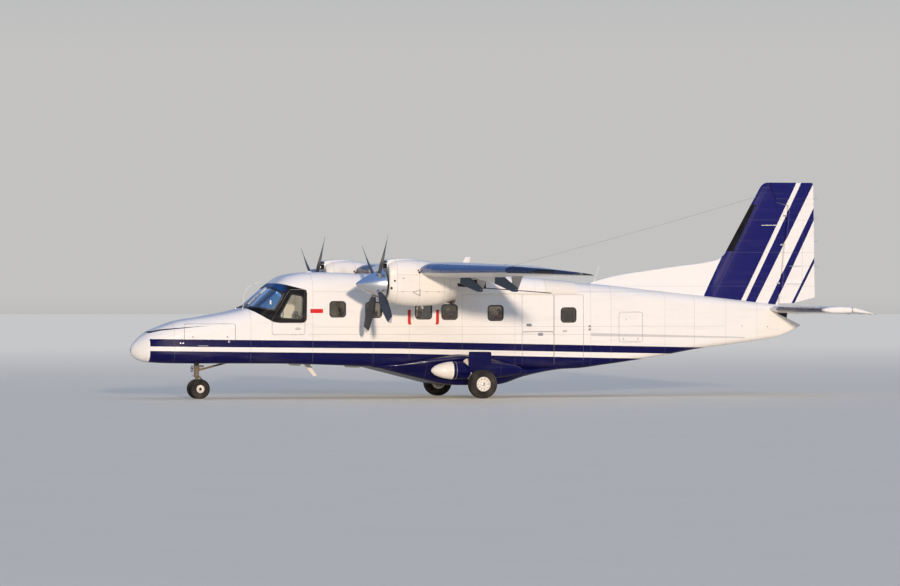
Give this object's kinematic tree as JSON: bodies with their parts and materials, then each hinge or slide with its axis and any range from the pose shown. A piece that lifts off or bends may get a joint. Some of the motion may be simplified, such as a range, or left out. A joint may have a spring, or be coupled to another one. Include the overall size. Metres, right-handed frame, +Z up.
{
  "type": "twin turboprop airliner",
  "caption": "High-wing twin-turboprop commuter airliner with square cabin, sponson landing gear, opening doors, steering nose gear and moving control surfaces.",
  "frame": {"origin": "on the ground, midway along the overall length, on the centreline", "axes": "nose towards -X, port side towards -Y, up is +Z"},
  "size_m": [16.7602, 16.97, 4.98],
  "materials": {
    "blade": "satin dark grey paint",
    "blue": "glossy dark blue paint",
    "exhaust": "heat-stained metal",
    "glass": "tinted transparent panes",
    "polished": "polished metal",
    "rim": "off-white paint",
    "steel": "bare metal",
    "trim": "dark cockpit trim",
    "tyre": "dusty rubber",
    "white": "glossy white paint"
  },
  "bodies": {
    "airframe": {"radome": "white", "nose_section": "white", "cabin_floor": "blue", "cockpit_section": "white", "cabin_left_wall": "white", "cabin_right_wall": "white", "cabin_roof": "white", "rear_fuselage": "white", "tail_cone": "white", "windscreen": "glass", "copilot_window": "glass", "cockpit_seats": "trim", "instrument_panel": "trim", "belly_fairing": "blue", "wing_root_fairing": "white", "wing_centre": "white", "fin": "blue", "nose_leg": "steel", "wing_outer_left": "white", "nacelle_left": "white", "engine_left": "steel", "exhaust_left": "exhaust", "tailplane_left": "white", "pod_nose_left": "white", "main_leg_left": "rim", "gear_door_left": "blue", "wing_outer_right": "white", "nacelle_right": "white", "engine_right": "steel", "exhaust_right": "exhaust", "tailplane_right": "white", "pod_nose_right": "white", "main_leg_right": "rim", "gear_door_right": "blue"},
    "propeller_left": {"propeller_left": "blade", "spinner_left": "polished"},
    "propeller_right": {"propeller_right": "blade", "spinner_right": "polished"},
    "nose_steering": {"nose_fork": "steel"},
    "nose_wheel": {"nose_rims": "rim", "nose_tyre_left": "tyre", "nose_tyre_right": "tyre"},
    "main_wheel_left": {"main_rim_left": "rim", "main_tyre_left": "tyre"},
    "main_wheel_right": {"main_rim_right": "rim", "main_tyre_right": "tyre"},
    "flap_left": {"flap_left": "white"},
    "flap_right": {"flap_right": "white"},
    "aileron_left": {"aileron_left": "white"},
    "aileron_right": {"aileron_right": "white"},
    "elevator_left": {"elevator_left": "white"},
    "elevator_right": {"elevator_right": "white"},
    "rudder": {"rudder": "blue"},
    "nose_baggage_door": {"nose_baggage_door": "white"},
    "crew_door": {"crew_door": "white", "crew_door_window": "glass"},
    "passenger_door_lower": {"passenger_door_lower": "white"},
    "passenger_door_upper": {"passenger_door_upper": "white"},
    "cargo_door": {"cargo_door": "white"},
    "rear_baggage_door": {"rear_baggage_door": "white"}
  },
  "joints": [
    {"name": "propeller_left_spin", "type": "hinge", "parent": "airframe", "child": "propeller_left", "pos_m": [-3.34, -2.43, 2.59], "axis": [1, 0, 0], "continuous": true},
    {"name": "propeller_right_spin", "type": "hinge", "parent": "airframe", "child": "propeller_right", "pos_m": [-3.34, 2.43, 2.59], "axis": [1, 0, 0], "continuous": true},
    {"name": "nose_steering", "type": "hinge", "parent": "airframe", "child": "nose_steering", "pos_m": [-6.845, 0, 0.5], "axis": [0, 0, 1], "range_deg": [-50, 50]},
    {"name": "nose_wheel_spin", "type": "hinge", "parent": "nose_steering", "child": "nose_wheel", "pos_m": [-6.8, 0, 0.2225], "axis": [0, 1, 0], "continuous": true},
    {"name": "main_wheel_left_spin", "type": "hinge", "parent": "airframe", "child": "main_wheel_left", "pos_m": [-0.58, -1.65, 0.325], "axis": [0, 1, 0], "continuous": true},
    {"name": "main_wheel_right_spin", "type": "hinge", "parent": "airframe", "child": "main_wheel_right", "pos_m": [-0.58, 1.65, 0.325], "axis": [0, 1, 0], "continuous": true},
    {"name": "flap_left_hinge", "type": "hinge", "parent": "airframe", "child": "flap_left", "pos_m": [-0.58, -2.8, 2.47], "axis": [0, 1, 0], "range_deg": [0, 30]},
    {"name": "flap_right_hinge", "type": "hinge", "parent": "airframe", "child": "flap_right", "pos_m": [-0.58, 2.8, 2.47], "axis": [0, 1, 0], "range_deg": [0, 30]},
    {"name": "aileron_left_hinge", "type": "hinge", "parent": "airframe", "child": "aileron_left", "pos_m": [-0.7124, -4.77, 2.8315], "axis": [0.0084, 0.9999, 0.0062], "range_deg": [-20, 20]},
    {"name": "aileron_right_hinge", "type": "hinge", "parent": "airframe", "child": "aileron_right", "pos_m": [-0.7124, 4.77, 2.8315], "axis": [-0.0084, 0.9999, -0.0062], "range_deg": [-20, 20]},
    {"name": "elevator_left_hinge", "type": "hinge", "parent": "airframe", "child": "elevator_left", "pos_m": [7.89, -1.7, 2.006], "axis": [0, 1, 0], "range_deg": [-36, 8]},
    {"name": "elevator_right_hinge", "type": "hinge", "parent": "airframe", "child": "elevator_right", "pos_m": [7.89, 1.7, 2.006], "axis": [0, 1, 0], "range_deg": [-36, 8]},
    {"name": "rudder_hinge", "type": "hinge", "parent": "airframe", "child": "rudder", "pos_m": [7.4888, 0, 3.5], "axis": [0.1088, 0, 0.9941], "range_deg": [-25, 25]},
    {"name": "nose_baggage_door_hinge", "type": "hinge", "parent": "airframe", "child": "nose_baggage_door", "pos_m": [-7.283, -0.5327, 1.7], "axis": [-0.9783, 0.2071, 0], "range_deg": [0, 95]},
    {"name": "crew_door_hinge", "type": "hinge", "parent": "airframe", "child": "crew_door", "pos_m": [-5.294, -0.774, 1.9], "axis": [0, 0, -1], "range_deg": [0, 95]},
    {"name": "passenger_door_lower_hinge", "type": "hinge", "parent": "airframe", "child": "passenger_door_lower", "pos_m": [1.06, -0.742, 0.714], "axis": [1, 0, 0], "range_deg": [0, 110]},
    {"name": "passenger_door_upper_hinge", "type": "hinge", "parent": "airframe", "child": "passenger_door_upper", "pos_m": [1.06, -0.768, 2.35], "axis": [-1, 0, 0], "range_deg": [0, 85]},
    {"name": "cargo_door_hinge", "type": "hinge", "parent": "airframe", "child": "cargo_door", "pos_m": [2.182, -0.742, 1.5], "axis": [0, 0, 1], "range_deg": [0, 110]},
    {"name": "rear_baggage_door_hinge", "type": "hinge", "parent": "airframe", "child": "rear_baggage_door", "pos_m": [3.06, -0.69, 1.6], "axis": [0, 0, -1], "range_deg": [0, 90]}
  ],
  "couplings": [
    {"joint": "aileron_right_hinge", "follows": "aileron_left_hinge", "ratio": -1},
    {"joint": "flap_right_hinge", "follows": "flap_left_hinge", "ratio": 1},
    {"joint": "elevator_right_hinge", "follows": "elevator_left_hinge", "ratio": 1}
  ]
}
